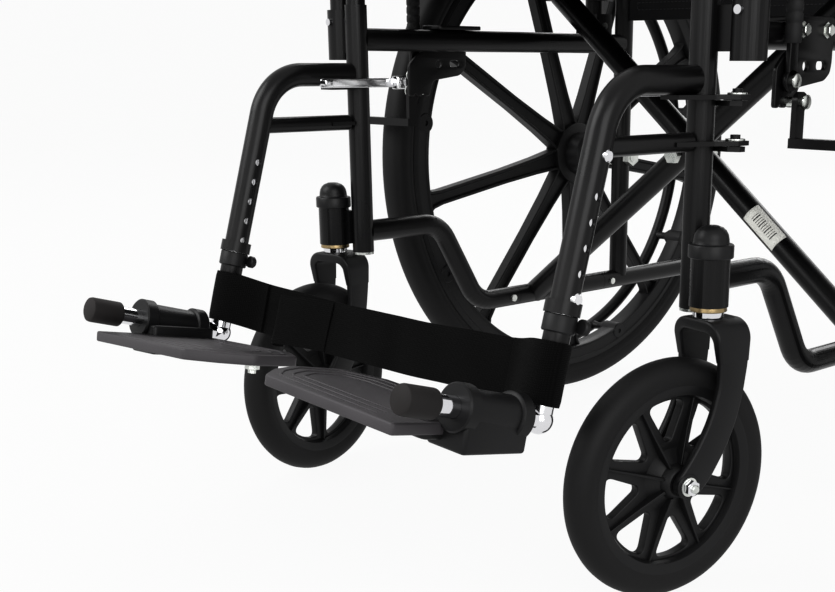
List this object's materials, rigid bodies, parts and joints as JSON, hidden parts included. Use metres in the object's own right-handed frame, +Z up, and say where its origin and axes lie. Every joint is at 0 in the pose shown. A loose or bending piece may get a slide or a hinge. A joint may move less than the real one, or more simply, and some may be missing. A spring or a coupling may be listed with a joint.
{
  "type": "manual wheelchair",
  "caption": "Folding manual wheelchair with large self-propelled rear wheels, swivel casters, swing-away footrests, a heel strap, flip-back arms and wheel locks.",
  "frame": {"origin": "centre of the bounding box, on the floor", "axes": "+Z up, -Y is the way the chair faces, +X is the sitter's left"},
  "size_m": [0.702, 1.0373, 0.9418],
  "materials": {
    "frame_paint": "matte black powder coat",
    "zinc_steel": "zinc plated",
    "chrome_tube": "polished",
    "black_plastic": "moulded, fine grain",
    "tyre_rubber": "solid rubber",
    "cap_rubber": "matte",
    "grip_vinyl": "ribbed",
    "pad_vinyl": "grained vinyl",
    "seat_nylon": "woven nylon",
    "strap_webbing": "woven webbing"
  },
  "bodies": {
    "right_side": {"right_side_frame": "frame_paint", "right_frame_hardware": "zinc_steel", "right_push_grip": "grip_vinyl", "right_stem_cap": "black_plastic", "right_rear_axle": "zinc_steel", "right_brake_bracket": "frame_paint", "back_sling": "seat_nylon"},
    "left_side": {"left_side_frame": "frame_paint", "left_frame_hardware": "zinc_steel", "left_push_grip": "grip_vinyl", "left_stem_cap": "black_plastic", "left_rear_axle": "zinc_steel", "left_brake_bracket": "frame_paint"},
    "cross_a": {"cross_arm_a": "frame_paint", "cross_bolt": "zinc_steel"},
    "cross_b": {"cross_arm_b": "frame_paint"},
    "right_seat": {"right_seat_rail": "frame_paint", "seat_sling": "seat_nylon"},
    "left_seat": {"left_seat_rail": "frame_paint"},
    "right_caster_swivel": {"right_caster_fork": "black_plastic", "right_caster_axle": "zinc_steel"},
    "right_caster_body": {"right_caster_wheel": "black_plastic", "right_caster_tyre": "tyre_rubber"},
    "right_wheel": {"right_rear_wheel": "black_plastic", "right_rear_tyre": "tyre_rubber", "right_handrim": "black_plastic"},
    "right_hanger": {"right_hanger": "frame_paint", "right_height_clamp": "black_plastic", "right_heel_strap": "strap_webbing"},
    "right_foot_tube": {"right_foot_tube": "chrome_tube", "right_foot_tube_cap": "cap_rubber"},
    "right_plate": {"right_footplate": "black_plastic"},
    "right_latch": {"right_latch_lever": "chrome_tube"},
    "right_lock_lever": {"right_brake_lever": "frame_paint"},
    "right_lock_shoe": {"right_brake_shoe": "frame_paint"},
    "right_arm": {"right_armrest": "frame_paint", "right_arm_pad": "pad_vinyl", "right_side_panel": "black_plastic"},
    "right_button": {"right_arm_button": "chrome_tube"},
    "left_caster_swivel": {"left_caster_fork": "black_plastic", "left_caster_axle": "zinc_steel"},
    "left_caster_body": {"left_caster_wheel": "black_plastic", "left_caster_tyre": "tyre_rubber"},
    "left_wheel": {"left_rear_wheel": "black_plastic", "left_rear_tyre": "tyre_rubber", "left_handrim": "black_plastic"},
    "left_hanger": {"left_hanger": "frame_paint", "left_height_clamp": "black_plastic", "left_heel_strap": "strap_webbing"},
    "left_foot_tube": {"left_foot_tube": "chrome_tube", "left_foot_tube_cap": "cap_rubber"},
    "left_plate": {"left_footplate": "black_plastic"},
    "left_latch": {"left_latch_lever": "chrome_tube"},
    "left_lock_lever": {"left_brake_lever": "frame_paint"},
    "left_lock_shoe": {"left_brake_shoe": "frame_paint"},
    "left_arm": {"left_armrest": "frame_paint", "left_arm_pad": "pad_vinyl", "left_side_panel": "black_plastic"},
    "left_button": {"left_arm_button": "chrome_tube"}
  },
  "joints": [
    {"name": "fold", "type": "hinge", "parent": "right_side", "child": "cross_a", "pos_m": [-0.219, 0.09666, 0.156], "axis": [0, -1, 0], "range_deg": [0, 39], "deforming": ["seat_sling", "back_sling", "right_heel_strap", "left_heel_strap"]},
    {"name": "cross_pivot", "type": "hinge", "parent": "cross_a", "child": "cross_b", "pos_m": [0, 0.06966, 0.3305], "axis": [0, 1, 0], "range_deg": [0, 79]},
    {"name": "left_frame_pivot", "type": "hinge", "parent": "cross_b", "child": "left_side", "pos_m": [0.219, 0.09666, 0.156], "axis": [0, -1, 0], "range_deg": [0, 40]},
    {"name": "left_seat_pivot", "type": "hinge", "parent": "cross_a", "child": "left_seat", "pos_m": [0.219, 0.05466, 0.505], "axis": [0, 1, 0], "range_deg": [0, 40]},
    {"name": "right_seat_pivot", "type": "hinge", "parent": "cross_b", "child": "right_seat", "pos_m": [-0.219, 0.08466, 0.505], "axis": [0, -1, 0], "range_deg": [0, 40]},
    {"name": "right_swivel", "type": "hinge", "parent": "right_side", "child": "right_caster_swivel", "pos_m": [-0.247, -0.21934, 0.2], "axis": [0, 0, 1], "continuous": true},
    {"name": "right_caster_spin", "type": "hinge", "parent": "right_caster_swivel", "child": "right_caster_body", "pos_m": [-0.23994, -0.25566, 0.1], "axis": [0.9816, 0.1908, 0], "continuous": true},
    {"name": "right_wheel_spin", "type": "hinge", "parent": "right_side", "child": "right_wheel", "pos_m": [-0.303, 0.20866, 0.31], "axis": [1, 0, 0], "continuous": true},
    {"name": "right_swing_away", "type": "hinge", "parent": "right_side", "child": "right_hanger", "pos_m": [-0.243, -0.18934, 0.38], "axis": [0, 0, 1], "range_deg": [-95, 0]},
    {"name": "right_foot_extension", "type": "slide", "parent": "right_hanger", "child": "right_foot_tube", "axis": [0, -0.29, -0.957], "range_m": [0, 0.095]},
    {"name": "right_plate_flip", "type": "hinge", "parent": "right_foot_tube", "child": "right_plate", "pos_m": [-0.219, -0.38334, 0.17], "axis": [0, -0.957, 0.29], "range_deg": [0, 94.6]},
    {"name": "right_latch_pull", "type": "hinge", "parent": "right_hanger", "child": "right_latch", "pos_m": [-0.199, -0.25534, 0.403], "axis": [0, 0, -1], "range_deg": [0, 12], "stiffness_Nm_per_rad": 0.6},
    {"name": "right_lock", "type": "hinge", "parent": "right_side", "child": "right_lock_lever", "pos_m": [-0.239, -0.11134, 0.4095], "axis": [1, 0, 0], "range_deg": [0, 30]},
    {"name": "right_lock_shoe_pivot", "type": "hinge", "parent": "right_side", "child": "right_lock_shoe", "pos_m": [-0.246, -0.10734, 0.393], "axis": [1, 0, 0], "range_deg": [0, 13]},
    {"name": "right_arm_flip", "type": "hinge", "parent": "right_side", "child": "right_arm", "pos_m": [-0.255, 0.19366, 0.466], "axis": [-1, 0, 0], "range_deg": [0, 110]},
    {"name": "right_button_press", "type": "slide", "parent": "right_side", "child": "right_button", "axis": [0, 1, 0], "range_m": [0, 0.003], "stiffness_N_per_m": 600},
    {"name": "left_swivel", "type": "hinge", "parent": "left_side", "child": "left_caster_swivel", "pos_m": [0.247, -0.21934, 0.2], "axis": [0, 0, 1], "continuous": true},
    {"name": "left_caster_spin", "type": "hinge", "parent": "left_caster_swivel", "child": "left_caster_body", "pos_m": [0.23994, -0.25566, 0.1], "axis": [0.9816, -0.1908, 0], "continuous": true},
    {"name": "left_wheel_spin", "type": "hinge", "parent": "left_side", "child": "left_wheel", "pos_m": [0.303, 0.20866, 0.31], "axis": [1, 0, 0], "continuous": true},
    {"name": "left_swing_away", "type": "hinge", "parent": "left_side", "child": "left_hanger", "pos_m": [0.243, -0.18934, 0.38], "axis": [0, 0, -1], "range_deg": [-95, 0]},
    {"name": "left_foot_extension", "type": "slide", "parent": "left_hanger", "child": "left_foot_tube", "axis": [0, -0.29, -0.957], "range_m": [0, 0.095]},
    {"name": "left_plate_flip", "type": "hinge", "parent": "left_foot_tube", "child": "left_plate", "pos_m": [0.219, -0.38334, 0.17], "axis": [0, 0.957, -0.29], "range_deg": [0, 94.6]},
    {"name": "left_latch_pull", "type": "hinge", "parent": "left_hanger", "child": "left_latch", "pos_m": [0.199, -0.25534, 0.403], "axis": [0, 0, 1], "range_deg": [0, 12], "stiffness_Nm_per_rad": 0.6},
    {"name": "left_lock", "type": "hinge", "parent": "left_side", "child": "left_lock_lever", "pos_m": [0.239, -0.11134, 0.4095], "axis": [1, 0, 0], "range_deg": [0, 30]},
    {"name": "left_lock_shoe_pivot", "type": "hinge", "parent": "left_side", "child": "left_lock_shoe", "pos_m": [0.246, -0.10734, 0.393], "axis": [1, 0, 0], "range_deg": [0, 13]},
    {"name": "left_arm_flip", "type": "hinge", "parent": "left_side", "child": "left_arm", "pos_m": [0.255, 0.19366, 0.466], "axis": [-1, 0, 0], "range_deg": [0, 110]},
    {"name": "left_button_press", "type": "slide", "parent": "left_side", "child": "left_button", "axis": [0, 1, 0], "range_m": [0, 0.003], "stiffness_N_per_m": 600}
  ],
  "couplings": [
    {"joint": "cross_pivot", "follows": "fold", "ratio": 2},
    {"joint": "left_frame_pivot", "follows": "fold", "ratio": 1},
    {"joint": "left_seat_pivot", "follows": "fold", "ratio": 1},
    {"joint": "right_seat_pivot", "follows": "fold", "ratio": 1},
    {"joint": "right_plate_flip", "follows": "fold", "ratio": 2.4},
    {"joint": "right_lock_shoe_pivot", "follows": "right_lock", "ratio": 0.4},
    {"joint": "left_plate_flip", "follows": "fold", "ratio": 2.4},
    {"joint": "left_lock_shoe_pivot", "follows": "left_lock", "ratio": 0.4}
  ]
}
